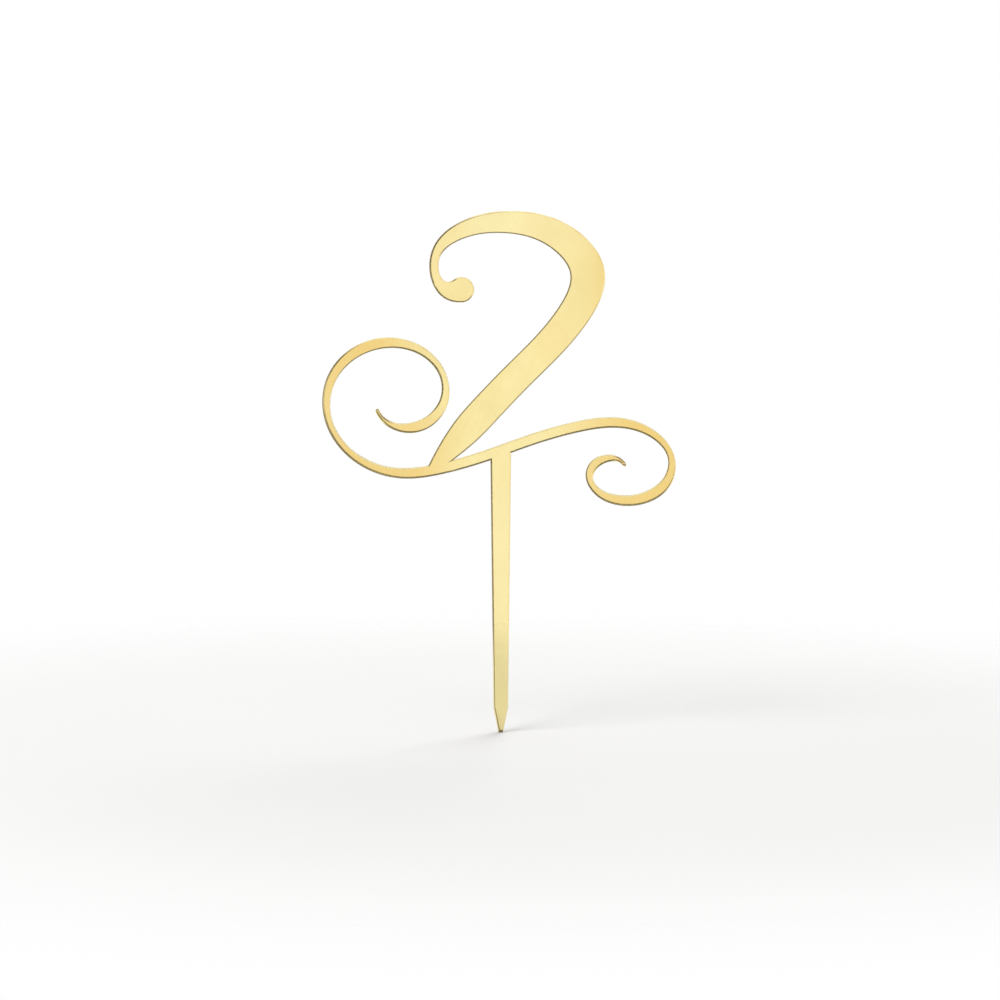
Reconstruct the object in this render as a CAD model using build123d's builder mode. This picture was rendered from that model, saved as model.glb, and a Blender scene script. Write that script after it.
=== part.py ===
from build123d import *
import os
from itertools import pairwise
from math import cos, pi, radians, sin

# Cake topper: a script numeral on a scroll flourish and a stake, laser cut from mirrored acrylic.
# One cut goes through the whole laminated sheet, so all its layers have the same outline.
# X runs along the numeral, Z is up and the front faces -Y. The origin is the middle of the stake
# at the level down to which it is pushed in. Sizes are millimetres.

# Layers of the sheet, front to back
acrylic_thickness = 2.85
mirror_thickness = 0.05
paint_thickness = 0.10

# Stake: a flat blade that narrows from the flourish to its point
stake_top_width = 7.4
stake_surface_width = 5.9
stake_depth = 38.0
point_length = 9.0
point_width = 1.6

# Flourish: a wave that rises over the stake, from a wide loop at the left to a small curl at the right
left_reach = 62.8
right_reach = 61.3
wave_low = 56.0
wave_high = 74.4
loop_start = 27.5
loop_end = 8.5
loop_turns = 1.15
loop_stretch = 1.11
curl_start = 17.2
curl_end = 2.7
curl_turns = 1.10
curl_stretch = 1.37
flourish_thin = 2.4
flourish_thick = 4.0
pen_slope = 25.0
tip_width = 1.2
tip_length = 20.0

# Numeral: its middle line fills this box, and its foot stands on the flourish
numeral_left = -24.0
numeral_bottom = 60.0
numeral_width = 55.0
numeral_height = 86.0
numeral_thin = 3.2
numeral_thick = 12.4
numeral_ball = 9.0
foot_x = -25.0
foot_width = 3.6
foot_length = 26.0

# How finely the strokes are laid out
wave_points = 5
points_per_turn = 10
steps_per_span = 4

# The numeral from its ball to just above its foot: shares of the numeral's box
numeral_shape = [
    (0.18, 0.72),
    (0.04, 0.74),
    (0.01, 0.86),
    (0.18, 0.965),
    (0.48, 1.00),
    (0.82, 0.94),
    (1.00, 0.79),
    (0.90, 0.61),
    (0.56, 0.37),
    (0.22, 0.14),
]


def pen_stroke(points, pressed_width, narrow_ends):
    """One stroke of a pen, as a face with round ends.

    Its width comes from its direction. Each narrow end gives which end it is (0 or 1), the width
    there and the length over which the stroke narrows to it.
    """
    path = Spline(*points, mode=Mode.PRIVATE)
    marks = [path.param_at_point(point) for point in points]
    places = [
        start + (end - start) * step / steps_per_span
        for start, end in pairwise(marks)
        for step in range(steps_per_span)
    ]
    left_side = []
    right_side = []
    for place in [*places, marks[-1]]:
        spot = path @ place
        along = path % place
        width = pressed_width(along)
        for end, end_width, end_length in narrow_ends:
            distance = path.length * abs(place - end)
            if distance < end_length:
                width = end_width + (width - end_width) * sin(pi / 2 * distance / end_length)
        across = Vector(-along.Y, along.X) * (width / 2)
        left_side.append(spot + across)
        right_side.append(spot - across)
    with BuildSketch() as stroke:
        with BuildLine():
            Spline(*left_side)
            Spline(*right_side)
            for end, outward in ((0, -1), (-1, 1)):
                middle = (left_side[end] + right_side[end]) / 2
                edge = left_side[end] - middle
                tip = middle + Vector(edge.Y, -edge.X) * outward
                ThreePointArc(left_side[end], tip, right_side[end])
        make_face()
    return stroke.sketch


def flourish_pressed(along):
    """The flourish is thickest along the slope of the pen."""
    slope = radians(pen_slope)
    pressure = (along.X * cos(slope) + along.Y * sin(slope)) ** 2
    return flourish_thin + (flourish_thick - flourish_thin) * pressure


def numeral_pressed(along):
    """The numeral is thickest where the pen goes down."""
    return numeral_thin + (numeral_thick - numeral_thin) * (1 - along.Y) / 2


def spiral(centre_x, centre_z, start_radius, end_radius, turns, stretch, side):
    """An even spiral from the wave: side 1 goes right and down, side -1 left and up."""
    count = round(turns * points_per_turn)
    spots = []
    for step in range(count + 1):
        angle = 2 * pi * turns * step / count
        radius = side * (start_radius + (end_radius - start_radius) * step / count)
        spots.append((centre_x + stretch * radius * sin(angle), centre_z + radius * cos(angle)))
    return spots


# Loop and curl reach furthest out a quarter turn from the wave, where they have tightened a little.
loop_tightening = (loop_start - loop_end) / loop_turns
curl_tightening = (curl_start - curl_end) / curl_turns
loop_x = -left_reach + loop_stretch * (loop_start - loop_tightening / 4)
curl_x = right_reach - curl_stretch * (curl_start - curl_tightening / 4)


def wave_height(x):
    """Height of the wave's middle line, which is half a wave between the loop and the curl."""
    share = (x - loop_x) / (curl_x - loop_x)
    return wave_low + (wave_high - wave_low) * (1 - cos(pi * share)) / 2


wave = []
for step in range(1, wave_points):
    wave_x = loop_x + (curl_x - loop_x) * step / wave_points
    wave.append((wave_x, wave_height(wave_x)))
loop = spiral(loop_x, wave_low + loop_start, loop_start, loop_end, loop_turns, loop_stretch, -1)
curl = spiral(curl_x, wave_high - curl_start, curl_start, curl_end, curl_turns, curl_stretch, 1)
flourish = [*reversed(loop), *wave, *curl]

# The numeral's foot ends on the middle line of the flourish, inside its two edges.
numeral = [
    (numeral_left + x * numeral_width, numeral_bottom + z * numeral_height) for x, z in numeral_shape
]
numeral.append((foot_x, wave_height(foot_x)))

with BuildSketch() as outline:
    add(pen_stroke(flourish, flourish_pressed, [(0, tip_width, tip_length), (1, tip_width, tip_length)]))
    add(pen_stroke(numeral, numeral_pressed, [(1, foot_width, foot_length)]))
    with Locations(numeral[0]):
        Circle(numeral_ball / 2)
    narrowing = (stake_top_width - stake_surface_width) / wave_height(0)
    shoulder_height = point_length - stake_depth
    shoulder_width = stake_surface_width + narrowing * shoulder_height
    with BuildLine():
        Polyline(
            (stake_top_width / 2, wave_height(stake_top_width / 2)),
            (shoulder_width / 2, shoulder_height),
            (point_width / 2, -stake_depth),
            (-point_width / 2, -stake_depth),
            (-shoulder_width / 2, shoulder_height),
            (-stake_top_width / 2, wave_height(-stake_top_width / 2)),
            close=True,
        )
    make_face()

total_thickness = acrylic_thickness + mirror_thickness + paint_thickness
front = Plane.XZ.offset(total_thickness / 2)
os.makedirs("parts", exist_ok=True)

# Tinted clear acrylic, whose front is the face that shows
with BuildPart() as acrylic_sheet:
    with BuildSketch(front):
        add(outline.sketch)
    extrude(amount=-acrylic_thickness)
acrylic_sheet.part.label = "acrylic_sheet"
export_step(acrylic_sheet.part, "parts/acrylic_sheet.step")

# Mirror coat on the back of the acrylic
with BuildPart() as mirror_coat:
    with BuildSketch(front.offset(-acrylic_thickness)):
        add(outline.sketch)
    extrude(amount=-mirror_thickness)
mirror_coat.part.label = "mirror_coat"
export_step(mirror_coat.part, "parts/mirror_coat.step")

# Paint that protects the mirror coat
with BuildPart() as back_paint:
    with BuildSketch(front.offset(-acrylic_thickness - mirror_thickness)):
        add(outline.sketch)
    extrude(amount=-paint_thickness)
back_paint.part.label = "back_paint"
export_step(back_paint.part, "parts/back_paint.step")
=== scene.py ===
import bpy
from math import cos, radians, sin
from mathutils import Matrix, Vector


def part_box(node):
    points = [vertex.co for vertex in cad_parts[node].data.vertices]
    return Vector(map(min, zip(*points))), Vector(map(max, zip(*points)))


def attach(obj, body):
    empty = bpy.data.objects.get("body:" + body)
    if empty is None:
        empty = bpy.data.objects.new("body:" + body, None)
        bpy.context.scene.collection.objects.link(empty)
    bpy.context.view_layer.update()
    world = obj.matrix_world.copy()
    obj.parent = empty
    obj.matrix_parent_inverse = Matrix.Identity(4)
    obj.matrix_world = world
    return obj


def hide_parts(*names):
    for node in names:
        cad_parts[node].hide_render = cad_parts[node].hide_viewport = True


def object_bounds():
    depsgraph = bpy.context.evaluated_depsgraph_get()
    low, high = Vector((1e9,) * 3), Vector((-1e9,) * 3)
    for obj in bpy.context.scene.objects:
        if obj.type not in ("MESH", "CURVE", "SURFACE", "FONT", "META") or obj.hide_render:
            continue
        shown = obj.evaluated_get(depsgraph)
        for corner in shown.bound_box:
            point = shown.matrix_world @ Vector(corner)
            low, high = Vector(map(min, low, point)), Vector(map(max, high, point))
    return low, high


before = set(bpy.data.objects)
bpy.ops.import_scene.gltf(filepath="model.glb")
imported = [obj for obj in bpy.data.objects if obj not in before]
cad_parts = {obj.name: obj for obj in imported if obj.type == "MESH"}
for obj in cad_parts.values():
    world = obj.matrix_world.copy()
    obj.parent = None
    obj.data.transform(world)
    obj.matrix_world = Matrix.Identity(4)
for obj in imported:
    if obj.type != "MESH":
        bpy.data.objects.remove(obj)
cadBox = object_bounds()
print("frame loaded:", sorted(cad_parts))

samePlace = 1e-6          # points nearer than this are one point
faceOnly = (1, 0, 1)      # stretch of a pattern that stays the same through the sheet


# helpers for the meshes

def pickOnly(piece):
    bpy.ops.object.select_all(action="DESELECT")
    piece.select_set(True)
    bpy.context.view_layer.objects.active = piece


def startEdit(piece, kind, action):
    # edit mode with all of this piece selected, or none of it
    pickOnly(piece)
    bpy.ops.object.mode_set(mode="EDIT")
    bpy.ops.mesh.select_mode(type=kind)
    bpy.ops.mesh.select_all(action=action)


def liesAt(mesh, element, depth):
    # whether a whole edge or face is at this depth in the sheet
    return all(abs(mesh.vertices[i].co.y - depth) < samePlace for i in element.vertices)


def cutOutline(nodeName, flatTurn, cornerTurn, roundness):
    # the outline of the node's front, as a smooth closed line through its points
    line = bpy.data.objects.new("cutLine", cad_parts[nodeName].data.copy())
    bpy.context.scene.collection.objects.link(line)
    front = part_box(nodeName)[0].y
    startEdit(line, "FACE", "SELECT")
    bpy.ops.mesh.remove_doubles(threshold=samePlace)
    bpy.ops.mesh.select_all(action="DESELECT")
    bpy.ops.object.mode_set(mode="OBJECT")
    for face in line.data.polygons:
        face.select = not liesAt(line.data, face, front)
    bpy.ops.object.mode_set(mode="EDIT")
    bpy.ops.mesh.delete(type="FACE")
    bpy.ops.mesh.select_all(action="SELECT")
    bpy.ops.mesh.dissolve_limited(angle_limit=flatTurn)
    bpy.ops.mesh.select_all(action="SELECT")
    bpy.ops.mesh.delete(type="ONLY_FACE")
    bpy.ops.object.mode_set(mode="OBJECT")
    bpy.ops.object.convert(target="CURVE")
    line = bpy.context.active_object
    bpy.ops.object.mode_set(mode="EDIT")
    bpy.ops.curve.select_all(action="SELECT")
    bpy.ops.curve.spline_type_set(type="BEZIER")
    bpy.ops.curve.handle_type_set(type="AUTOMATIC")
    bpy.ops.object.mode_set(mode="OBJECT")
    points = line.data.splines[0].bezier_points
    spots = [point.co.copy() for point in points]
    corners = 0
    for i, point in enumerate(points):
        before = spots[i] - spots[i - 1]
        after = spots[(i + 1) % len(spots)] - spots[i]
        if before.angle(after, 0) > cornerTurn:      # a true corner stays sharp
            point.handle_left_type = point.handle_right_type = "VECTOR"
            corners += 1
    line.data.resolution_u = roundness
    pickOnly(line)
    bpy.ops.object.convert(target="MESH")
    line = bpy.context.active_object
    print("cut line:", len(spots), "CAD points,", corners, "corners,",
          len(line.data.vertices), "points")
    return line


def layerFrom(line, pieceName, front, back):
    # one layer of the sheet: the outline filled at its front and drawn out to its back
    piece = bpy.data.objects.new(pieceName, line.data.copy())
    bpy.context.scene.collection.objects.link(piece)
    for vertex in piece.data.vertices:
        vertex.co.y = front
    startEdit(piece, "EDGE", "SELECT")
    bpy.ops.mesh.remove_doubles(threshold=samePlace)
    bpy.ops.mesh.edge_face_add()
    bpy.ops.mesh.select_all(action="SELECT")
    bpy.ops.mesh.extrude_region_move(TRANSFORM_OT_translate={"value": (0, back - front, 0)})
    bpy.ops.mesh.select_all(action="SELECT")
    bpy.ops.mesh.normals_make_consistent(inside=False)
    bpy.ops.object.mode_set(mode="OBJECT")
    return piece


def bevelRim(piece, depth, width, steps):
    # bevels the edge all round the flat side at this depth: one step is a chamfer
    startEdit(piece, "EDGE", "DESELECT")
    bpy.ops.object.mode_set(mode="OBJECT")
    for edge in piece.data.edges:
        edge.select = liesAt(piece.data, edge, depth)
    bpy.ops.object.mode_set(mode="EDIT")
    bpy.ops.mesh.bevel(offset=width, offset_type="OFFSET", segments=steps, profile=0.5,
                       affect="EDGES")
    bpy.ops.object.mode_set(mode="OBJECT")


def smoothWalls(piece, angle, flatWeight):
    # curved walls shade smoothly, and the big flat faces stay flat
    pickOnly(piece)
    bpy.ops.object.shade_smooth_by_angle(angle=angle)
    bpy.ops.object.modifier_add(type="WEIGHTED_NORMAL")
    weighted = piece.modifiers[-1]
    weighted.weight = flatWeight
    weighted.keep_sharp = True
    bpy.ops.object.modifier_apply(modifier=weighted.name)


# helpers for the materials

def newMaterial(name):
    material = bpy.data.materials.new(name)
    material.use_nodes = True
    tree = material.node_tree
    tree.nodes.clear()
    output = tree.nodes.new("ShaderNodeOutputMaterial")
    surface = tree.nodes.new("ShaderNodeBsdfPrincipled")
    tree.links.new(surface.outputs[0], output.inputs["Surface"])
    return material, tree, surface, output


def setInputs(node, values):
    for name, value in values.items():
        node.inputs[name].default_value = value


def remap(tree, value, low, high, fromLow=0.3, fromHigh=0.7):
    # a noise lies mostly between 0.3 and 0.7
    span = tree.nodes.new("ShaderNodeMapRange")
    span.clamp = True
    setInputs(span, {"From Min": fromLow, "From Max": fromHigh, "To Min": low, "To Max": high})
    tree.links.new(value, span.inputs["Value"])
    return span.outputs[0]


def noiseOn(tree, vector, scale, detail=2.0, roughness=0.5, stretch=(1, 1, 1)):
    place = tree.nodes.new("ShaderNodeMapping")
    place.inputs["Scale"].default_value = stretch
    tree.links.new(vector, place.inputs["Vector"])
    noise = tree.nodes.new("ShaderNodeTexNoise")
    setInputs(noise, {"Scale": scale, "Detail": detail, "Roughness": roughness})
    tree.links.new(place.outputs[0], noise.inputs["Vector"])
    return noise.outputs["Fac"]


def hairlinesOn(tree, vector, turn, scale, length, limits):
    # long thin marks that run at this angle on the flat face
    place = tree.nodes.new("ShaderNodeMapping")
    place.vector_type = "TEXTURE"
    place.inputs["Rotation"].default_value = (0, turn, 0)
    place.inputs["Scale"].default_value = (1, 1, length)
    tree.links.new(vector, place.inputs["Vector"])
    noise = tree.nodes.new("ShaderNodeTexNoise")
    setInputs(noise, {"Scale": scale, "Detail": 0.0})
    tree.links.new(place.outputs[0], noise.inputs["Vector"])
    return remap(tree, noise.outputs["Fac"], 0, 1, *limits)


def twoNumbers(tree, operation, first, second):
    maths = tree.nodes.new("ShaderNodeMath")
    maths.operation = operation
    for socket, value in zip(maths.inputs, (first, second)):
        if isinstance(value, (int, float)):
            socket.default_value = value
        else:
            tree.links.new(value, socket)
    return maths.outputs[0]


def twoColours(tree, share, first, second):
    mix = tree.nodes.new("ShaderNodeMix")
    mix.data_type = "RGBA"
    tree.links.new(share, mix.inputs["Factor"])
    for name, colour in (("A", first), ("B", second)):
        socket = [s for s in mix.inputs if s.name == name and s.type == "RGBA"][0]
        if isinstance(colour, tuple):
            socket.default_value = (*colour, 1)
        else:
            tree.links.new(colour, socket)
    return [s for s in mix.outputs if s.type == "RGBA"][0]


def bumpFrom(tree, height, distance, under=None):
    bump = tree.nodes.new("ShaderNodeBump")
    setInputs(bump, {"Strength": 1.0, "Distance": distance})
    tree.links.new(height, bump.inputs["Height"])
    if under is not None:
        tree.links.new(under, bump.inputs["Normal"])
    return bump.outputs[0]


# one cut goes through the whole sheet, so its three layers share one outline

cutSet = {
    "flatTurn": radians(0.1),      # flat triangles that turn less than this are one face
    "cornerTurn": radians(9.5),
    "roundness": 3,
    "wallAngle": radians(30),
    "flatWeight": 100,
}

cutLine = cutOutline("acrylic_sheet", cutSet["flatTurn"], cutSet["cornerTurn"], cutSet["roundness"])


# the sheet of clear gold acrylic: cut edges with a fine chamfer at the front

acrylicSet = {
    "chamfer": 0.00040,
    "chamferSteps": 1,
    "intoMirror": 0.00002,       # the film is bonded, so there is no gap between the two
    # pale and deep gold: the acrylic's tint, with a painted reflection gradient mixed into it
    "paleTintAndPaintedReflection": (1.0, 0.905, 0.53),
    "deepTintAndPaintedReflection": (0.99, 0.870, 0.45),
    "tintAndPaintedReflectionScale": 11.0,
    "tintAndPaintedReflectionStretch": (1, 0, 0.8),
    "dyeColour": (0.985, 0.90, 0.45, 1),
    "dyeDensity": 40.0,
    "ior": 1.49,
    "waveScale": 16.0,
    "waveDepth": 0.00030,
    "smudge": (0.012, 0.045),    # roughness where it is clean and where it is smudged
    "smudgeScale": 70.0,
    "hairlines": [radians(24), radians(-37)],      # which way the fine wiping marks run
    "hairlineScale": 2400.0,
    "hairlineLength": 70.0,
    "hairlineLimits": (0.70, 0.78),
    "hairlineHaze": 0.07,
    "hairlineDepth": 0.000002,
    "cutFacing": (0.1, 0.9),     # how far a face looks forward, from the cut edge to the flat face
    "cutRoughness": (0.06, 0.16),
    "cutClear": 0.78,            # the cut scatters a little, so the edges glow amber
    "cutPitch": 5200.0,          # laser ripple on the cut edge, per metre
    "cutStretch": 0.02,          # the ripple runs through the sheet
    "cutDepth": 0.000012,
}

front, back = (corner.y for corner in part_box("acrylic_sheet"))
acrylicSheet = layerFrom(cutLine, "acrylicSheet", front, back + acrylicSet["intoMirror"])
bevelRim(acrylicSheet, front, acrylicSet["chamfer"], acrylicSet["chamferSteps"])
smoothWalls(acrylicSheet, cutSet["wallAngle"], cutSet["flatWeight"])
print("acrylic sheet:", len(acrylicSheet.data.polygons), "faces")

goldAcrylic, tree, surface, output = newMaterial("goldAcrylic")
place = tree.nodes.new("ShaderNodeTexCoord")
spot = place.outputs["Object"]
facing = tree.nodes.new("ShaderNodeSeparateXYZ")
tree.links.new(place.outputs["Normal"], facing.inputs[0])
flatness = twoNumbers(tree, "ABSOLUTE", facing.outputs["Y"], 0)
onCut = remap(tree, flatness, 1, 0, *acrylicSet["cutFacing"])

# gold tint, a little deeper in places: random tone in the acrylic, which also serves as a painted
# reflection gradient
tintAndPaintedReflection = noiseOn(tree, spot, acrylicSet["tintAndPaintedReflectionScale"], detail=0, stretch=acrylicSet["tintAndPaintedReflectionStretch"])
gold = twoColours(tree, remap(tree, tintAndPaintedReflection, 0, 1), acrylicSet["paleTintAndPaintedReflection"], acrylicSet["deepTintAndPaintedReflection"])
tree.links.new(gold, surface.inputs["Base Color"])

# smudges and wiping marks on the face, ripple on the cut
wiped = twoNumbers(tree, "MAXIMUM", *[
    hairlinesOn(tree, spot, turn, acrylicSet["hairlineScale"], acrylicSet["hairlineLength"],
                acrylicSet["hairlineLimits"])
    for turn in acrylicSet["hairlines"]])
haze = twoNumbers(tree, "MULTIPLY", wiped, acrylicSet["hairlineHaze"])
smudge = noiseOn(tree, spot, acrylicSet["smudgeScale"], detail=5, roughness=0.6)
faceGloss = twoNumbers(tree, "ADD", remap(tree, smudge, *acrylicSet["smudge"]), haze)
ripple = noiseOn(tree, spot, acrylicSet["cutPitch"], detail=3,
                 stretch=(1, acrylicSet["cutStretch"], 1))
gloss = tree.nodes.new("ShaderNodeMix")
tree.links.new(onCut, gloss.inputs["Factor"])
tree.links.new(faceGloss, gloss.inputs["A"])
tree.links.new(remap(tree, ripple, *acrylicSet["cutRoughness"]), gloss.inputs["B"])
tree.links.new(gloss.outputs[0], surface.inputs["Roughness"])

# the same marks and a slow waviness as bumps
rippled = bumpFrom(tree, twoNumbers(tree, "MULTIPLY", ripple, onCut), acrylicSet["cutDepth"])
scored = bumpFrom(tree, twoNumbers(tree, "SUBTRACT", 1, wiped), acrylicSet["hairlineDepth"],
                  under=rippled)
wave = noiseOn(tree, spot, acrylicSet["waveScale"], detail=1, stretch=faceOnly)
wavy = bumpFrom(tree, wave, acrylicSet["waveDepth"], under=scored)
tree.links.new(wavy, surface.inputs["Normal"])

# clear, with dye all through it
clearness = remap(tree, onCut, 1, acrylicSet["cutClear"], 0, 1)
tree.links.new(clearness, surface.inputs["Transmission Weight"])
surface.inputs["IOR"].default_value = acrylicSet["ior"]
dye = tree.nodes.new("ShaderNodeVolumeAbsorption")
setInputs(dye, {"Color": acrylicSet["dyeColour"], "Density": acrylicSet["dyeDensity"]})
tree.links.new(dye.outputs[0], output.inputs["Volume"])

acrylicSheet.data.materials.append(goldAcrylic)
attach(acrylicSheet, "root")
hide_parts("acrylic_sheet")


# the mirror film behind the acrylic

mirrorSet = {
    "bright": (0.93, 0.915, 0.88),
    "dull": (0.88, 0.865, 0.82),
    "roughness": (0.02, 0.06),
    "cloudScale": 45.0,
    "waveScale": 16.0,
    "waveDepth": 0.00035,
}

front, back = (corner.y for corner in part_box("mirror_coat"))
mirrorCoat = layerFrom(cutLine, "mirrorCoat", front, back)
smoothWalls(mirrorCoat, cutSet["wallAngle"], cutSet["flatWeight"])
print("mirror coat:", len(mirrorCoat.data.polygons), "faces")

mirrorMetal, tree, surface, _ = newMaterial("mirrorMetal")
spot = tree.nodes.new("ShaderNodeTexCoord").outputs["Object"]
cloud = noiseOn(tree, spot, mirrorSet["cloudScale"], detail=4, roughness=0.6)
metal = twoColours(tree, remap(tree, cloud, 0, 1), mirrorSet["bright"], mirrorSet["dull"])
tree.links.new(metal, surface.inputs["Base Color"])
tree.links.new(remap(tree, cloud, *mirrorSet["roughness"]), surface.inputs["Roughness"])
wave = noiseOn(tree, spot, mirrorSet["waveScale"], detail=1, stretch=faceOnly)
tree.links.new(bumpFrom(tree, wave, mirrorSet["waveDepth"]), surface.inputs["Normal"])
surface.inputs["Metallic"].default_value = 1.0
mirrorCoat.data.materials.append(mirrorMetal)
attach(mirrorCoat, "root")
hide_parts("mirror_coat")


# the paint on the back: sprayed, with a rounded edge and a rim singed by the cut

paintSet = {
    "edge": 0.00006,
    "edgeSteps": 2,
    "rim": 0.00030,
    "backFacing": 0.99,          # a face that looks back at least this far is the flat back
    "grey": (0.40, 0.41, 0.42),
    "paleGrey": (0.50, 0.51, 0.52),
    "cloudScale": 60.0,
    "cloudShare": 0.65,
    "speckScale": 1500.0,
    "speckShare": 0.35,
    "singed": (0.20, 0.165, 0.13),
    "singeScale": 500.0,
    "singeRange": (0.35, 1.0),
    "roughness": (0.50, 0.72),
    "grainScale": 3200.0,
    "grainDepth": 0.00003,
}

front, back = (corner.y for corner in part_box("back_paint"))
backPaint = layerFrom(cutLine, "backPaint", front, back)
bevelRim(backPaint, back, paintSet["edge"], paintSet["edgeSteps"])
mesh = backPaint.data
startEdit(backPaint, "FACE", "DESELECT")
bpy.ops.object.mode_set(mode="OBJECT")
for face in mesh.polygons:
    face.select = face.normal.y > paintSet["backFacing"]
bpy.ops.object.mode_set(mode="EDIT")
bpy.ops.mesh.inset(thickness=paintSet["rim"], use_even_offset=True)
bpy.ops.object.mode_set(mode="OBJECT")
inner = set()
for face in mesh.polygons:
    if face.select:
        inner.update(face.vertices)
singe = mesh.attributes.new("singe", "FLOAT", "POINT")
for vertex in mesh.vertices:
    singe.data[vertex.index].value = 0.0 if vertex.index in inner else 1.0
smoothWalls(backPaint, cutSet["wallAngle"], cutSet["flatWeight"])
print("back paint:", len(mesh.polygons), "faces")

greyPaint, tree, surface, _ = newMaterial("greyPaint")
spot = tree.nodes.new("ShaderNodeTexCoord").outputs["Object"]
cloud = noiseOn(tree, spot, paintSet["cloudScale"], detail=6, roughness=0.65)
speck = noiseOn(tree, spot, paintSet["speckScale"], detail=2)
clouded = twoNumbers(tree, "MULTIPLY", remap(tree, cloud, 0, 1), paintSet["cloudShare"])
specked = twoNumbers(tree, "MULTIPLY", remap(tree, speck, 0, 1), paintSet["speckShare"])
shade = twoNumbers(tree, "ADD", clouded, specked)
sprayed = twoColours(tree, shade, paintSet["grey"], paintSet["paleGrey"])
heat = tree.nodes.new("ShaderNodeAttribute")
heat.attribute_name = "singe"
uneven = noiseOn(tree, spot, paintSet["singeScale"], detail=3)
burnt = twoNumbers(tree, "MULTIPLY", heat.outputs["Fac"],
                   remap(tree, uneven, *paintSet["singeRange"]))
paint = twoColours(tree, burnt, sprayed, paintSet["singed"])
tree.links.new(paint, surface.inputs["Base Color"])
tree.links.new(remap(tree, cloud, *paintSet["roughness"]), surface.inputs["Roughness"])
grain = noiseOn(tree, spot, paintSet["grainScale"], detail=2)
tree.links.new(bumpFrom(tree, grain, paintSet["grainDepth"]), surface.inputs["Normal"])
backPaint.data.materials.append(greyPaint)
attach(backPaint, "root")
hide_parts("back_paint")
bpy.data.objects.remove(cutLine)


# floor: pale near the stake, and fading out into the white round it

floorSet = {
    "radius": 0.50,
    "corners": 96,
    "fade": (0.14, 0.42),        # distance from the middle where it starts to fade and is gone
    "colour": (0.895, 0.895, 0.89),
    "paleColour": (0.905, 0.905, 0.90),
    "cloudScale": 6.0,
    "roughness": 0.8,
}

bpy.ops.object.select_all(action="DESELECT")
bpy.ops.mesh.primitive_circle_add(vertices=floorSet["corners"], radius=floorSet["radius"],
                                  fill_type="NGON", location=(0, 0, cadBox[0].z))
floor = bpy.context.active_object
floor.name = "floor"
bpy.ops.object.transform_apply(location=True, rotation=True, scale=True)
paleFloor, tree, surface, output = newMaterial("paleFloor")
spot = tree.nodes.new("ShaderNodeTexCoord").outputs["Object"]
cloud = noiseOn(tree, spot, floorSet["cloudScale"], detail=3)
pale = twoColours(tree, remap(tree, cloud, 0, 1), floorSet["colour"], floorSet["paleColour"])
tree.links.new(pale, surface.inputs["Base Color"])
surface.inputs["Roughness"].default_value = floorSet["roughness"]
reach = tree.nodes.new("ShaderNodeVectorMath")
reach.operation = "LENGTH"
tree.links.new(spot, reach.inputs[0])
away = remap(tree, reach.outputs["Value"], 0, 1, *floorSet["fade"])
away.node.interpolation_type = "SMOOTHERSTEP"
clear = tree.nodes.new("ShaderNodeBsdfTransparent")
fade = tree.nodes.new("ShaderNodeMixShader")
tree.links.new(away, fade.inputs["Fac"])
tree.links.new(surface.outputs[0], fade.inputs[1])
tree.links.new(clear.outputs[0], fade.inputs[2])
tree.links.new(fade.outputs[0], output.inputs["Surface"])
floor.data.materials.append(paleFloor)
print("floor made")


# light: white all round, darker high up and in half a ring at the right for the cut edges
# to catch, and two soft lamps

lightSet = {
    "ambient": 0.55,
    "mirrorLevel": 1.08,
    "backdropLevel": 1.0,
    "white": (1.0, 1.0, 1.0),
    "warm": (0.92, 0.765, 0.53),
    "dark": (0.22, 0.20, 0.17),
    "bandScale": 3.2,
    "bandWander": 1.0,
    "ceiling": (0.12, 0.28, 0.75, 0.95),   # sine of the height: starts, is full, fades, ends
    "flagRing": (0.24, 0.31, 0.46, 0.53),  # the same for the half ring, away from straight ahead
    "flagSide": (0.05, 0.20),              # where it begins at the right of the middle
    "aim": (0, 0, 0.06),
    "lamps": [                             # name, place, width and power
        ("keyLamp", (-0.80, -0.85, 1.25), 0.9, 12.0),
        ("backLamp", (0.40, 1.10, 1.00), 0.9, 10.0),
    ],
}

world = bpy.data.worlds.new("studio")
bpy.context.scene.world = world
world.use_nodes = True
tree = world.node_tree
tree.nodes.clear()
output = tree.nodes.new("ShaderNodeOutputWorld")
ray = tree.nodes.new("ShaderNodeLightPath")
direction = tree.nodes.new("ShaderNodeTexCoord").outputs["Generated"]
towards = tree.nodes.new("ShaderNodeSeparateXYZ")
tree.links.new(direction, towards.inputs[0])


def darkBand(along, limits):
    rising = remap(tree, along, 0, 1, limits[0], limits[1])
    falling = remap(tree, along, 1, 0, limits[2], limits[3])
    return twoNumbers(tree, "MULTIPLY", rising, falling)


# what the mirror shows: white and warm bands, and the two dark places
flatWay = tree.nodes.new("ShaderNodeVectorMath")
flatWay.operation = "MULTIPLY"
flatWay.inputs[1].default_value = faceOnly
tree.links.new(direction, flatWay.inputs[0])
spread = tree.nodes.new("ShaderNodeVectorMath")
spread.operation = "LENGTH"
tree.links.new(flatWay.outputs[0], spread.inputs[0])
flag = twoNumbers(tree, "MULTIPLY", darkBand(spread.outputs["Value"], lightSet["flagRing"]),
                  remap(tree, towards.outputs["X"], 0, 1, *lightSet["flagSide"]))
dusk = twoNumbers(tree, "MAXIMUM", darkBand(towards.outputs["Z"], lightSet["ceiling"]), flag)
band = tree.nodes.new("ShaderNodeTexWave")
band.wave_type = "BANDS"
band.bands_direction = "X"
band.wave_profile = "SIN"
setInputs(band, {"Scale": lightSet["bandScale"], "Distortion": lightSet["bandWander"],
                 "Detail": 0.0, "Detail Scale": 1.0})
tree.links.new(direction, band.inputs["Vector"])
glow = twoColours(tree, band.outputs["Fac"], lightSet["warm"], lightSet["white"])
seenInMirror = tree.nodes.new("ShaderNodeBackground")
tree.links.new(twoColours(tree, dusk, glow, lightSet["dark"]), seenInMirror.inputs["Color"])
seenInMirror.inputs["Strength"].default_value = lightSet["mirrorLevel"]

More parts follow.
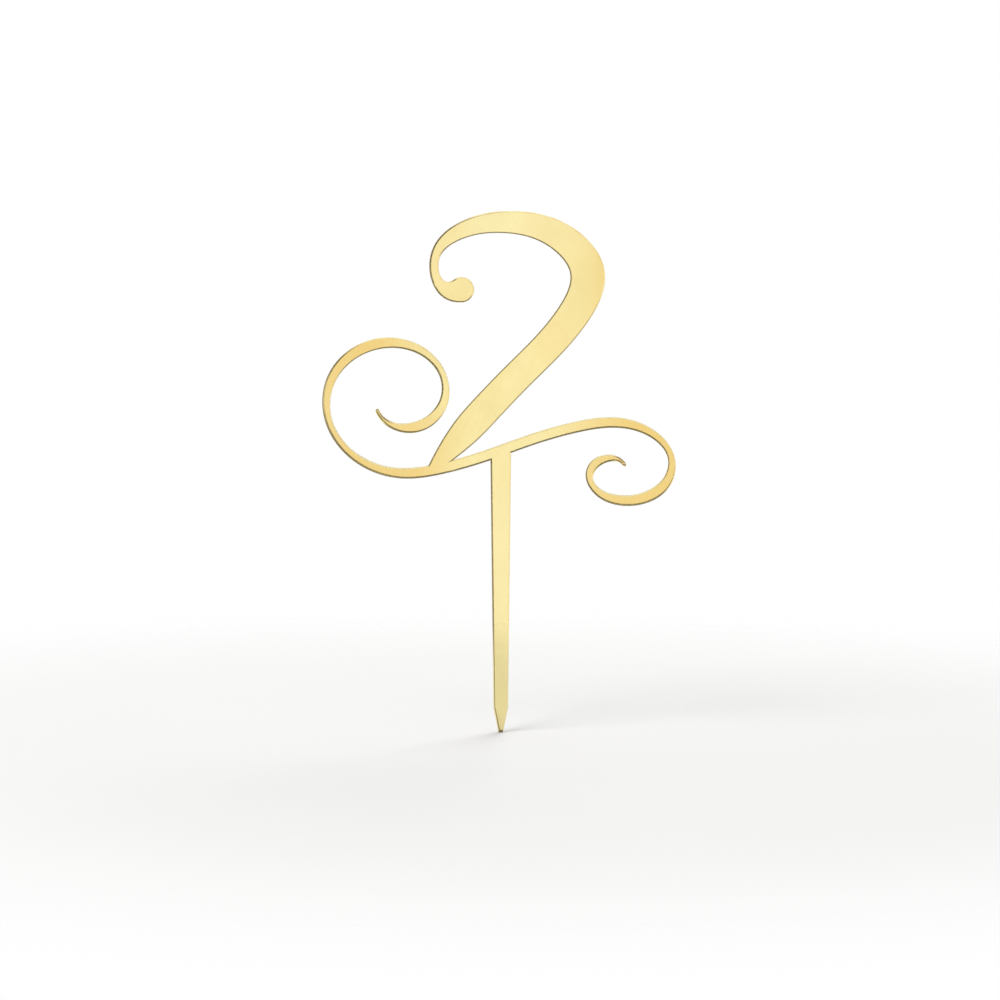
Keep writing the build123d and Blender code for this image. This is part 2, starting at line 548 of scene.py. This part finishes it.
# plain light on everything else, and white straight behind
plainLight = tree.nodes.new("ShaderNodeBackground")
seenDirect = tree.nodes.new("ShaderNodeBackground")
for sky, strength in ((plainLight, lightSet["ambient"]), (seenDirect, lightSet["backdropLevel"])):
    setInputs(sky, {"Color": (*lightSet["white"], 1), "Strength": strength})
glossy = twoNumbers(tree, "MAXIMUM", ray.outputs["Is Glossy Ray"],
                    ray.outputs["Is Transmission Ray"])
throughGloss = tree.nodes.new("ShaderNodeMixShader")
tree.links.new(glossy, throughGloss.inputs["Fac"])
tree.links.new(plainLight.outputs[0], throughGloss.inputs[1])
tree.links.new(seenInMirror.outputs[0], throughGloss.inputs[2])
byCamera = tree.nodes.new("ShaderNodeMixShader")
tree.links.new(ray.outputs["Is Camera Ray"], byCamera.inputs["Fac"])
tree.links.new(throughGloss.outputs[0], byCamera.inputs[1])
tree.links.new(seenDirect.outputs[0], byCamera.inputs[2])
tree.links.new(byCamera.outputs[0], output.inputs["Surface"])

for name, spotAt, size, power in lightSet["lamps"]:
    bpy.ops.object.light_add(type="AREA", location=spotAt)
    lamp = bpy.context.active_object
    lamp.name = name
    lamp.data.size = size
    lamp.data.energy = power
    lamp.visible_glossy = lamp.visible_transmission = False      # the mirror shows no lamps
    towardsAim = Vector(lightSet["aim"]) - Vector(spotAt)
    lamp.rotation_euler = towardsAim.to_track_quat("-Z", "Y").to_euler()
print("lamps set:", len(lightSet["lamps"]))


# camera: nearly straight on, a little above and to the right

cameraSet = {
    "target": (-0.0003, 0.0, 0.0464),
    "frameWidth": 0.360,
    "distance": 1.10,
    "azimuth": radians(3),
    "elevation": radians(5),
    "sensor": 36.0,
}

side, lift = cameraSet["azimuth"], cameraSet["elevation"]
outward = Vector((sin(side) * cos(lift), -cos(side) * cos(lift), sin(lift)))
bpy.ops.object.camera_add(location=Vector(cameraSet["target"]) + outward * cameraSet["distance"])
camera = bpy.context.active_object
camera.rotation_euler = (-outward).to_track_quat("-Z", "Y").to_euler()
camera.data.sensor_width = cameraSet["sensor"]
camera.data.lens = cameraSet["sensor"] * cameraSet["distance"] / cameraSet["frameWidth"]
bpy.context.scene.camera = camera
bpy.context.scene.view_settings.view_transform = "Standard"
print("camera set")

bpy.context.view_layer.update()
